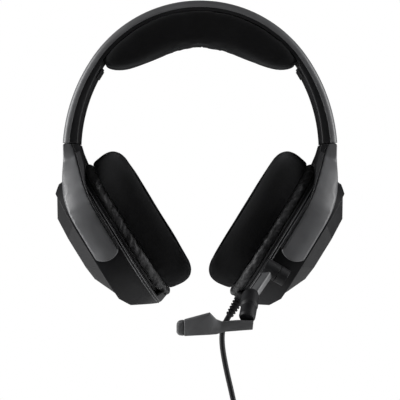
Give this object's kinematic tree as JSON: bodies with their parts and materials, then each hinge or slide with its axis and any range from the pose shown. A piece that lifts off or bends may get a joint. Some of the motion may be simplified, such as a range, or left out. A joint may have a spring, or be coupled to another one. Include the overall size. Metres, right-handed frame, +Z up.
{
  "type": "gaming headset",
  "caption": "Over-ear wired headset: sprung headband, sliding yokes, tilting ear cups with soft pads and a swinging boom microphone.",
  "frame": {"origin": "the crown point: middle of the underside of the headband pad, where it rests on the head", "axes": "+Z up, -Y the way the wearer faces, +X the wearer's left side, which carries the microphone and cable"},
  "size_m": [0.1952, 0.1397, 0.3944],
  "materials": {
    "satin_grey": "satin dark grey moulded plastic",
    "dark_plastic": "fine-grained near-black moulded plastic",
    "liner_black": "black moulded plastic",
    "boom_grey": "satin mid-grey moulded plastic",
    "steel": "spring steel",
    "pad_cloth": "black velour knit",
    "skirt_cloth": "black gathered cloth",
    "scrim_cloth": "thin black speaker cloth",
    "driver_metal": "driver magnet casing",
    "driver_film": "thin film diaphragm",
    "board": "green circuit board",
    "rubber_black": "soft black rubber",
    "cable_jacket": "matt black cable jacket",
    "wire_jacket": "thin red wire insulation",
    "plug_metal": "plated jack plug"
  },
  "bodies": {
    "band": {"band_outer_shell": "satin_grey", "band_inner_shell": "liner_black", "band_spring": "steel", "band_wire": "wire_jacket", "band_screws": "steel", "headband_pad": "pad_cloth", "pad_clips": "liner_black"},
    "left_yoke": {"left_yoke_outer": "satin_grey", "left_yoke_inner": "liner_black", "left_slider_strip": "steel", "left_pivot_pins": "steel"},
    "left_cup": {"left_cup_shell": "dark_plastic", "left_cup_cap": "dark_plastic", "left_baffle": "dark_plastic", "left_driver_basket": "driver_metal", "left_driver_magnet": "driver_metal", "left_driver_cone": "driver_film", "left_driver_scrim": "scrim_cloth", "left_pad_ring": "liner_black", "left_pad_skirt": "skirt_cloth", "left_ear_pad": "pad_cloth", "left_cup_screws": "steel", "control_board": "board", "volume_pot": "liner_black", "mic_socket": "liner_black", "strain_relief": "rubber_black", "cable_lead": "cable_jacket", "cable_coil": "cable_jacket", "cable_tail": "cable_jacket", "cable_tie": "rubber_black", "plug_body": "rubber_black", "plug_pin": "plug_metal"},
    "right_yoke": {"right_yoke_outer": "satin_grey", "right_yoke_inner": "liner_black", "right_slider_strip": "steel", "right_pivot_pins": "steel"},
    "right_cup": {"right_cup_shell": "dark_plastic", "right_cup_cap": "dark_plastic", "right_baffle": "dark_plastic", "right_driver_basket": "driver_metal", "right_driver_magnet": "driver_metal", "right_driver_cone": "driver_film", "right_driver_scrim": "scrim_cloth", "right_pad_ring": "liner_black", "right_pad_skirt": "skirt_cloth", "right_ear_pad": "pad_cloth", "right_cup_screws": "steel"},
    "volume_wheel": {"volume_wheel": "liner_black"},
    "mute_button": {"mute_button": "liner_black"},
    "mic_boom": {"boom_hub": "liner_black", "boom_arm": "boom_grey", "boom_flex": "rubber_black", "mic_front": "boom_grey", "mic_back": "boom_grey", "mic_capsule": "driver_metal", "mic_end_cap": "boom_grey"}
  },
  "joints": [
    {"name": "left_slide", "type": "slide", "parent": "band", "child": "left_yoke", "axis": [0.225, 0, -0.9744], "range_m": [0, 0.025]},
    {"name": "left_tilt", "type": "hinge", "parent": "left_yoke", "child": "left_cup", "pos_m": [0.06442, 0, -0.13742], "axis": [0, -1, 0], "range_deg": [0, 15]},
    {"name": "right_slide", "type": "slide", "parent": "band", "child": "right_yoke", "axis": [-0.225, 0, -0.9744], "range_m": [0, 0.025]},
    {"name": "right_tilt", "type": "hinge", "parent": "right_yoke", "child": "right_cup", "pos_m": [-0.06442, 0, -0.13742], "axis": [0, 1, 0], "range_deg": [0, 15]},
    {"name": "boom_swing", "type": "hinge", "parent": "left_cup", "child": "mic_boom", "pos_m": [0.04676, -0.0512, -0.15307], "axis": [-0.8508, 0, 0.5255], "range_deg": [0, 125]},
    {"name": "volume_turn", "type": "hinge", "parent": "left_cup", "child": "volume_wheel", "pos_m": [0.05423, 0.0338, -0.15639], "axis": [0.8508, 0, -0.5255], "range_deg": [-140, 140]},
    {"name": "mute_press", "type": "slide", "parent": "left_cup", "child": "mute_button", "axis": [0.3716, -0.7071, 0.6016], "range_m": [0, 0.001], "stiffness_N_per_m": 400, "springref_m": -0.0005}
  ]
}
